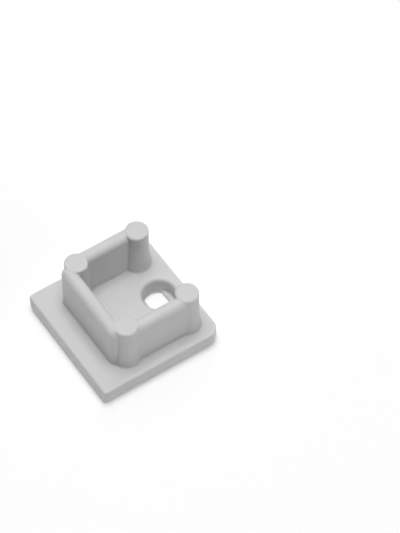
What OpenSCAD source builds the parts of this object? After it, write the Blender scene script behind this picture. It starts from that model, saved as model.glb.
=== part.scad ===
// End cap for a square hollow profile, one plastic moulding.
// It lies on its outer face, Z = 0, with its spigot up. The origin is at the middle of that face.
// X runs from the plate's flat side to the side where the spigot is open.

/* [Plate] */
// Length of the plate along X
plate_len = 19.4; // [17:0.1:40]
// Width of the plate along Y
plate_w = 20; // [16:0.5:40]
// Thickness of the plate
plate_t = 2.9; // [2.4:0.1:5]
// Plan radius of the two corners at the open side
corner_r = 1.85; // [1.6:0.05:3]
// Radius of the two corners at the flat side, which runs out along the rounded edge
flat_corner_r = 0.5; // [0.5:0.05:1.1]
// Radius of the rounded edge round the outer face
face_edge_r = 1.55; // [1.2:0.05:1.6]
// Height above the outer face at which that rounding starts
face_edge_h = 1.45; // [0.8:0.05:1.5]
// Radius of the flat side's edge at the outer face
flat_edge_r = 0.3; // [0.1:0.05:0.5]
// Radius of the small rounding at the spigot side of the plate
seat_edge_r = 0.3; // [0.1:0.05:0.45]

/* [Posts] */
// Height of the posts above the plate
post_h = 7.55; // [5:0.05:15]
// Diameter of a post at its straight upper stretch
post_d = 3.38; // [2.8:0.02:4]
// Length of that straight stretch
post_straight = 2.3; // [1:0.1:4]
// Radius of the long arc on which a post widens to its foot
post_flare_r = 43; // [25:1:90]
// Rounding of a post's top rim
post_rim_r = 0.3; // [0.1:0.05:0.6]
// Distance from the plate's sides to the post centres
post_side_set = 3.6; // [3:0.05:6]
// Distance from the plate's open side to the nearer post centres
post_open_set = 3.35; // [3:0.05:6]
// Distance from the plate's flat side to the nearer post centres
post_flat_set = 6; // [5:0.05:9]

/* [Walls] */
// How far the tops of the walls lie below the tops of the posts
wall_drop = 0.12; // [0.05:0.01:2]
// Thickness of the walls
wall_t = 2.05; // [1.6:0.05:2.6]
// Rounding along the top edges of the walls
wall_edge_r = 0.95; // [0.3:0.05:0.95]
// Distance from the plate's sides to the side walls
side_wall_set = 2.05; // [1.5:0.05:4]
// Distance from the plate's flat side to the cross wall
cross_wall_set = 3.45; // [2:0.05:5]
// How far the cross wall runs past the post centres
cross_wall_past = 0.5; // [0.1:0.05:1]
// Plan radius of the cross wall's outer corners, no less than the rounding of its top
cross_wall_r = 0.95; // [0.95:0.05:1.2]

/* [Cable hole] */
// Diameter of the round bore
bore_d = 4.8; // [3:0.1:6.4]
// Distance from the plate's open side to the hole's centre
bore_open_set = 3.9; // [3.5:0.1:9]
// Rounding of the bore's mouth at the spigot side
mouth_r = 0.55; // [0.1:0.05:0.7]
// Thickness of the web that narrows the bore to a slot at the outer face
web_t = 0.6; // [0.5:0.05:1]
// Length of the slot in the web, whose ends are round
slot_len = 4.4; // [2.8:0.1:6]
// Width of the slot between its flats
slot_w = 3; // [2:0.1:4.5]
// Rounding of the slot's edge at the outer face
slot_edge_r = 0.3; // [0.1:0.05:0.4]

/* [Hidden] */
$fn = 96;
arc_fn = 1440;
over = 1;
half_len = plate_len / 2;
half_w = plate_w / 2;
post_r = post_d / 2;
post_y = half_w - post_side_set;
post_open_x = half_len - post_open_set;
post_flat_x = post_flat_set - half_len;
face_edge_turn = asin(face_edge_h / face_edge_r);
flare_h = post_h - post_straight;
flare_foot = post_flare_r - sqrt(post_flare_r * post_flare_r - flare_h * flare_h);
wall_h = post_h - wall_drop;
side_wall_y = half_w - side_wall_set;
cross_wall_x = cross_wall_set - half_len;
cross_wall_y = post_y + cross_wall_past;
bore_r = bore_d / 2;
bore_x = half_len - bore_open_set;

// What a rounding of radius r takes off a corner of a section: the corner is at the origin, its solid below
// and to the left
module round_off(r) {
    difference() {
        translate([-r, -r])
            square(r + over);
        translate([-r, -r])
            circle(r);
    }
}

// What the two roundings take off the plate's edge, with the plate's side at X = 0
module plate_edge() {
    difference() {
        translate([-face_edge_r, -over])
            square([face_edge_r + over, face_edge_h + over]);
        translate([-face_edge_r, face_edge_h])
            circle(face_edge_r);
    }
    translate([0, plate_t])
        round_off(seat_edge_r);
}

// Section of the plate from its inside out to a side at r
module plate_section(r) {
    difference() {
        square([r, plate_t]);
        translate([r, 0])
            plate_edge();
    }
}

// What is taken off the plate's corner between the flat side and the +Y side, with that corner at the origin:
// straight down the side, round with the outer face's edge, and on in line until it runs out of the plate
module flat_corner() {
    run_out = flat_corner_r / sin(90 - face_edge_turn);
    translate([0, 0, -over])
        mirror([1, 0, 0])
            linear_extrude(plate_t + 2 * over)
                round_off(flat_corner_r);
    translate([0, -face_edge_r, face_edge_h])
        rotate([0, -90, 0]) {
            rotate([0, 0, 90])
                rotate_extrude(angle = face_edge_turn)
                    translate([face_edge_r, 0])
                        round_off(flat_corner_r);
            rotate([0, 0, 90 + face_edge_turn])
                translate([0, run_out, 0])
                    rotate([90, 0, 0])
                        linear_extrude(run_out + over)
                            translate([face_edge_r, 0])
                                round_off(flat_corner_r);
        }
    translate([flat_corner_r, -flat_corner_r, plate_t])
        rotate([0, 0, 90])
            rotate_extrude(angle = 90)
                translate([flat_corner_r, 0])
                    round_off(seat_edge_r);
}

// Plate without its hole: a strip along X, a strip along the open side and two turned corners
module plate() {
    corner_x = half_len - corner_r;
    corner_y = half_w - corner_r;
    difference() {
        translate([-half_len, 0, 0])
            rotate([90, 0, 90])
                linear_extrude(half_len + corner_x)
                    difference() {
                        translate([-half_w, 0])
                            square([plate_w, plate_t]);
                        for (side = [0, 1])
                            mirror([side, 0])
                                translate([half_w, 0])
                                    plate_edge();
                    }
        translate([-half_len, half_w + over, plate_t])
            rotate([90, 0, 0])
                mirror([1, 0, 0])
                    linear_extrude(plate_w + 2 * over)
                        round_off(seat_edge_r);
        translate([-half_len, half_w + over, 0])
            rotate([90, 0, 0])
                linear_extrude(plate_w + 2 * over)
                    rotate(180)
                        round_off(flat_edge_r);
        for (side = [0, 1])
            mirror([0, side, 0])
                translate([-half_len, half_w, 0])
                    flat_corner();
    }
    translate([0, corner_y, 0])
        rotate([90, 0, 0])
            linear_extrude(2 * corner_y)
                plate_section(half_len);
    for (side = [-1, 1])
        translate([corner_x, side * corner_y, 0])
            rotate([0, 0, side < 0 ? -90 : 0])
                rotate_extrude(angle = 90)
                    plate_section(corner_r);
}

// One post: straight at the top, with a rounded rim, and widening to its foot on a long arc
module post() {
    rotate_extrude()
        difference() {
            square([post_r + flare_foot + over, post_h]);
            translate([post_r, flare_h])
                square([flare_foot + 2 * over, post_straight + over]);
            translate([post_r + post_flare_r, flare_h])
                circle(post_flare_r, $fn = arc_fn);
            translate([post_r, post_h])
                round_off(post_rim_r);
        }
}

// Section of a wall whose outer face is at X = 0 and whose solid lies at X < 0
module wall_section() {
    difference() {
        translate([-wall_t, 0])
            square([wall_t, wall_h]);
        translate([0, wall_h])
            round_off(wall_edge_r);
        translate([-wall_t, wall_h])
            mirror([1, 0])
                round_off(wall_edge_r);
    }
}

// Outer half of a wall's section, as it runs round the cross wall's corners
module corner_section() {
    difference() {
        square([cross_wall_r, wall_h]);
        translate([cross_wall_r, wall_h])
            round_off(wall_edge_r);
    }
}

// Side wall at +Y, from post centre to post centre
module side_wall() {
    translate([post_flat_x, side_wall_y, 0])
        rotate([90, 0, 90])
            linear_extrude(post_open_x - post_flat_x)
                wall_section();
}

// Cross wall, with its rounded ends standing out beside the posts
module cross_wall() {
    end_y = cross_wall_y - cross_wall_r;
    corner_x = cross_wall_x + cross_wall_r;
    translate([cross_wall_x, end_y, 0])
        rotate([90, 0, 0])
            linear_extrude(2 * end_y)
                mirror([1, 0])
                    wall_section();
    for (side = [0, 1])
        mirror([0, side, 0]) {
            translate([corner_x, end_y, 0])
                rotate([0, 0, 90])
                    rotate_extrude(angle = 90)
                        corner_section();
            translate([corner_x, end_y, 0])
                rotate([90, 0, 90])
                    linear_extrude(post_flat_x - corner_x)
                        corner_section();
        }
}

// Half section of a hole of radius or half width r, with a rounded mouth at Y = 0 and its depth along Y
module mouth_section(r, edge_r, depth) {
    difference() {
        translate([0, -over])
            square([r + edge_r, over + depth]);
        translate([r, edge_r])
            square([edge_r + over, depth]);
        translate([r + edge_r, edge_r])
            circle(edge_r);
    }
}

// What the cable hole takes away: a round bore down to the web, and through the web a slot with round ends
module cable_hole() {
    translate([0, 0, plate_t])
        mirror([0, 0, 1])
            rotate_extrude()
                mouth_section(bore_r, mouth_r, plate_t - web_t);
    intersection() {
        rotate_extrude()
            mouth_section(slot_len / 2, slot_edge_r, web_t + over);
        translate([0, bore_r + mouth_r, 0])
            rotate([90, 0, 0])
                linear_extrude(2 * (bore_r + mouth_r))
                    for (side = [0, 1])
                        mirror([side, 0])
                            mouth_section(slot_w / 2, slot_edge_r, web_t + over);
    }
}

module end_cap() {
    color([0.82, 0.82, 0.82])
        difference() {
            union() {
                plate();
                translate([0, 0, plate_t]) {
                    for (x = [post_flat_x, post_open_x], y = [-post_y, post_y])
                        translate([x, y, 0])
                            post();
                    for (side = [0, 1])
                        mirror([0, side, 0])
                            side_wall();
                    cross_wall();
                }
            }
            translate([bore_x, 0, 0])
                cable_hole();
        }
}

end_cap();
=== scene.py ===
import math
from collections import namedtuple

import bpy
from mathutils import Matrix, Vector


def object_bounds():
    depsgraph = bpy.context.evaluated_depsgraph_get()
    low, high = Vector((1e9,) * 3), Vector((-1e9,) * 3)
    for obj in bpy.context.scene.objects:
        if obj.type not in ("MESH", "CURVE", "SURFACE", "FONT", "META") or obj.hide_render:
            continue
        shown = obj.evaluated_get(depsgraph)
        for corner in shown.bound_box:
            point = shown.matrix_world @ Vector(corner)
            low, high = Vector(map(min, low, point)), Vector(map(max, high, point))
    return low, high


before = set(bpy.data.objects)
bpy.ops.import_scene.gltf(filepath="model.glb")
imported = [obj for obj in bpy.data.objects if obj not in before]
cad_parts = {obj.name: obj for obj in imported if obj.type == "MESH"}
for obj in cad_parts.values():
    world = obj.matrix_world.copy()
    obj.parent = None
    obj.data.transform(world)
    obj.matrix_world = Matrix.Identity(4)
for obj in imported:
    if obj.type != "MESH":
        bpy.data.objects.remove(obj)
cad_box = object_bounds()
scene = bpy.context.scene

# Lengths are in metres, angles in degrees and lamp powers in watts. Only the lens and its sensor are in
# millimetres.

# The camera looks down on the cap from beyond the corner between the flat side and the -Y side. It aims at a
# point on the floor: how steeply, how far turned from +Y towards +X, and from how far off.
ELEVATION = 54.438
YAW = 33.71
DISTANCE = 0.43033
# From that point the plate's near corner lies this far to the right and away from the camera, so a number
# below 0 is to the left or nearer.
AIM_TO_CORNER = Vector((-0.01323, -0.02366, 0))
NEAR_CORNER = Vector((cad_box[0][0], cad_box[0][1], 0))
# Turns directions from the camera's level frame, where +X is its right and +Y is away from it, into those of
# the model's frame.
TURN = Matrix.Rotation(-math.radians(YAW), 3, "Z")
LENS = 270.0
SENSOR = 36.0
NEAREST = 0.01
FARTHEST = 10.0
# Half a pixel, as a share of the picture's 400 pixels. The camera's place was fitted with pixels counted from
# the first one's middle, and the renderer counts from its edge.
HALF_PIXEL = 0.5 / 400

WHITE = (1, 1, 1, 1)
# Half the floor's side, its own shade, and the share of plain white that the camera sees in it.
FLOOR_HALF = 2.0
PAPER = (0.98, 0.98, 0.98, 1)
WHITE_SHARE = 0.2

# The world's even glow, and the lamps, all equally far from the cap. Azimuth 0 is beyond the cap and 90 is to
# the camera's right, height is above the floor, and size is a lamp's side.
GLOW = 0.08
LAMP_DISTANCE = 1.0
Lamp = namedtuple("Lamp", "name azimuth height size power")
LAMPS = (
    Lamp("overhead", 0, 90, 0.5, 7.5),
    Lamp("beyond", 0, 55, 0.75, 1.7),
    Lamp("beyond_left", 300, 55, 0.75, 0.9),
    Lamp("low_right", 120, 22, 0.75, 1.4),
)

# The plastic's patterns. Scale is in cells a metre, detail adds levels of finer cells, and distortion swirls
# them.
Pattern = namedtuple("Pattern", "scale detail distortion")
CLOUDS = Pattern(230.0, 3.0, 0.0)
FLOW_MARKS = Pattern(420.0, 4.0, 1.6)
SPECKS = Pattern(2500.0, 3.0, 0.0)
WAVES = Pattern(500.0, 2.0, 0.0)
GRAIN = Pattern(7000.0, 3.0, 0.0)
# The two ends of what a pattern mostly gives, and what they turn into: the clouds' and the flow marks' parts
# of the shade, then the flow marks' and the specks' parts of the roughness.
PATTERN_RANGE = (0.25, 0.75)
CLOUD_SHADE = (0.588, 0.606)
FLOW_SHADE = (-0.006, 0.010)
FLOW_ROUGHNESS = (0.50, 0.60)
SPECK_ROUGHNESS = (-0.05, 0.05)
# The grain's height, how many times higher the waves are, and how strongly both show.
GRAIN_HEIGHT = 0.00001
WAVES_TO_GRAIN = 4.0
BUMP_STRENGTH = 0.35
# How much rounder edges and creases are shaded than the mesh has them, and the samples for that.
SOFT_EDGE = 0.0005
SOFT_EDGE_SAMPLES = 8
# How far light spreads inside the plastic, and how much the plastic bends it.
SCATTER = 0.0004
PLASTIC_IOR = 1.5


def add_camera():
    """The camera, placed round the floor point that it aims at and then brought into the model's frame."""
    data = bpy.data.cameras.new("camera")
    data.sensor_fit = "HORIZONTAL"
    data.sensor_width = SENSOR
    data.lens = LENS
    data.clip_start = NEAREST
    data.clip_end = FARTHEST
    data.shift_x = -HALF_PIXEL
    data.shift_y = HALF_PIXEL
    cam = bpy.data.objects.new("camera", data)
    scene.collection.objects.link(cam)
    elevation = math.radians(ELEVATION)
    right = Vector((1, 0, 0))
    ahead = Vector((0, math.cos(elevation), -math.sin(elevation)))
    up = right.cross(ahead)
    place = TURN @ (-ahead * DISTANCE - AIM_TO_CORNER) + NEAR_CORNER
    axes = Matrix((TURN @ right, TURN @ up, TURN @ -ahead)).transposed()
    cam.matrix_world = Matrix.Translation(place) @ axes.to_4x4()
    scene.camera = cam


def combine(tree, kind, first, second, clamp=False):
    """The sum (ADD) or product (MULTIPLY) of two sockets, or of a socket and a plain number."""
    node = tree.nodes.new("ShaderNodeMath")
    node.operation = kind
    node.use_clamp = clamp
    tree.links.new(first, node.inputs[0])
    if isinstance(second, (int, float)):
        node.inputs[1].default_value = second
    else:
        tree.links.new(second, node.inputs[1])
    return node.outputs["Value"]


def mix_shaders(tree, share, first, second):
    """The first shader where the share is 0, and the second where it is 1."""
    mix = tree.nodes.new("ShaderNodeMixShader")
    tree.links.new(share, mix.inputs["Fac"])
    tree.links.new(first, mix.inputs[1])
    tree.links.new(second, mix.inputs[2])
    return mix.outputs["Shader"]


def noise(tree, pattern):
    """A noise pattern that keeps its place on the model."""
    coords = tree.nodes.new("ShaderNodeTexCoord")
    node = tree.nodes.new("ShaderNodeTexNoise")
    node.inputs["Scale"].default_value = pattern.scale
    node.inputs["Detail"].default_value = pattern.detail
    node.inputs["Distortion"].default_value = pattern.distortion
    tree.links.new(coords.outputs["Object"], node.inputs["Vector"])
    return node.outputs["Fac"]


def ranged(tree, value, low, high):
    """A noise pattern's value, brought from the range that it mostly has to low to high."""
    node = tree.nodes.new("ShaderNodeMapRange")
    node.inputs["From Min"].default_value = PATTERN_RANGE[0]
    node.inputs["From Max"].default_value = PATTERN_RANGE[1]
    node.inputs["To Min"].default_value = low
    node.inputs["To Max"].default_value = high
    tree.links.new(value, node.inputs["Value"])
    return node.outputs["Result"]


def plastic_shade(tree, flow):
    """Light grey, which slow clouds and thinner flow marks change by a few parts in a hundred."""
    clouds = ranged(tree, noise(tree, CLOUDS), *CLOUD_SHADE)
    shade = combine(tree, "ADD", clouds, ranged(tree, flow, *FLOW_SHADE))
    colour = tree.nodes.new("ShaderNodeCombineColor")
    for channel in ("Red", "Green", "Blue"):
        tree.links.new(shade, colour.inputs[channel])
    return colour.outputs["Color"]


def plastic_roughness(tree, flow):
    """Matte, a little more or less so along the flow marks and in fine specks."""
    specks = ranged(tree, noise(tree, SPECKS), *SPECK_ROUGHNESS)
    return combine(tree, "ADD", ranged(tree, flow, *FLOW_ROUGHNESS), specks)


def plastic_normal(tree):
    """The mould's eroded grain, over faces that are not quite even, with softly shaded edges and creases."""
    waves = combine(tree, "MULTIPLY", noise(tree, WAVES), WAVES_TO_GRAIN)
    height = combine(tree, "ADD", waves, noise(tree, GRAIN))
    soft_edges = tree.nodes.new("ShaderNodeBevel")
    soft_edges.samples = SOFT_EDGE_SAMPLES
    soft_edges.inputs["Radius"].default_value = SOFT_EDGE
    bump = tree.nodes.new("ShaderNodeBump")
    bump.inputs["Strength"].default_value = BUMP_STRENGTH
    bump.inputs["Distance"].default_value = GRAIN_HEIGHT
    tree.links.new(height, bump.inputs["Height"])
    tree.links.new(soft_edges.outputs["Normal"], bump.inputs["Normal"])
    return bump.outputs["Normal"]


def moulded_plastic():
    """Light grey moulded plastic. Some light spreads inside it and comes out nearby, softening creases."""
    mat = bpy.data.materials.new("moulded_plastic")
    mat.use_nodes = True
    tree = mat.node_tree
    shader = tree.nodes["Principled BSDF"]
    shader.inputs["IOR"].default_value = PLASTIC_IOR
    shader.inputs["Subsurface Weight"].default_value = 1.0
    # The plastic is grey, so red, green and blue light spread equally far.
    shader.inputs["Subsurface Radius"].default_value = (1.0, 1.0, 1.0)
    shader.inputs["Subsurface Scale"].default_value = SCATTER
    flow = noise(tree, FLOW_MARKS)
    tree.links.new(plastic_shade(tree, flow), shader.inputs["Base Color"])
    tree.links.new(plastic_roughness(tree, flow), shader.inputs["Roughness"])
    tree.links.new(plastic_normal(tree), shader.inputs["Normal"])
    return mat


def seen(tree):
    """1 where the camera sees a place straight, in gloss or through glass, and 0 for the light it gives."""
    path = tree.nodes.new("ShaderNodeLightPath")
    total = path.outputs["Is Camera Ray"]
    for kind in ("Is Glossy Ray", "Is Transmission Ray"):
        total = combine(tree, "ADD", total, path.outputs[kind], clamp=True)
    return total


def white_paper():
    """Matte white. What the camera sees of it, straight or in gloss, is part paper and part plain white."""
    mat = bpy.data.materials.new("floor")
    mat.use_nodes = True
    tree = mat.node_tree
    paper = tree.nodes["Principled BSDF"]
    paper.inputs["Base Color"].default_value = PAPER
    paper.inputs["Roughness"].default_value = 1.0
    paper.inputs["Specular IOR Level"].default_value = 0.0
    white = tree.nodes.new("ShaderNodeEmission")
    white.inputs["Color"].default_value = WHITE
    white.inputs["Strength"].default_value = 1.0
    share = combine(tree, "MULTIPLY", seen(tree), WHITE_SHARE)
    surface = mix_shaders(tree, share, paper.outputs["BSDF"], white.outputs["Emission"])
    tree.links.new(surface, tree.nodes["Material Output"].inputs["Surface"])
    return mat


def pale_floor():
    """The flat floor that the cap stands on."""
    half = FLOOR_HALF
    corners = [(-half, -half, 0), (half, -half, 0), (half, half, 0), (-half, half, 0)]
    mesh = bpy.data.meshes.new("floor")
    mesh.from_pydata(corners, [], [(0, 1, 2, 3)])
    mesh.materials.append(white_paper())
    floor = bpy.data.objects.new("floor", mesh)
    scene.collection.objects.link(floor)


def studio_world():
    """A weak even glow from every side, which the camera sees as plain white."""
    world = bpy.data.worlds.new("studio")
    scene.world = world
    world.use_nodes = True
    tree = world.node_tree
    glow = tree.nodes["Background"]
    glow.inputs["Color"].default_value = WHITE
    glow.inputs["Strength"].default_value = GLOW
    white = tree.nodes.new("ShaderNodeBackground")
    white.inputs["Color"].default_value = WHITE
    white.inputs["Strength"].default_value = 1.0
    surface = mix_shaders(tree, seen(tree), glow.outputs["Background"], white.outputs["Background"])
    tree.links.new(surface, tree.nodes["World Output"].inputs["Surface"])


def add_lamp(lamp):
    """A soft square lamp, turned so that its back, +Z, points away from the cap."""
    data = bpy.data.lights.new(lamp.name, "AREA")
    data.size = lamp.size
    data.energy = lamp.power
    light = bpy.data.objects.new(lamp.name, data)
    scene.collection.objects.link(light)
    azimuth = math.radians(lamp.azimuth)
    height = math.radians(lamp.height)
    reach = math.cos(height)
    away = Vector((math.sin(azimuth) * reach, math.cos(azimuth) * reach, math.sin(height)))
    light.location = TURN @ away * LAMP_DISTANCE
    light.rotation_euler = light.location.to_track_quat("Z", "Y").to_euler()


add_camera()
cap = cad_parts["end_cap"]
cap.data.materials.clear()
cap.data.materials.append(moulded_plastic())
pale_floor()
studio_world()
for lamp in LAMPS:
    add_lamp(lamp)
scene.view_settings.view_transform = "Standard"
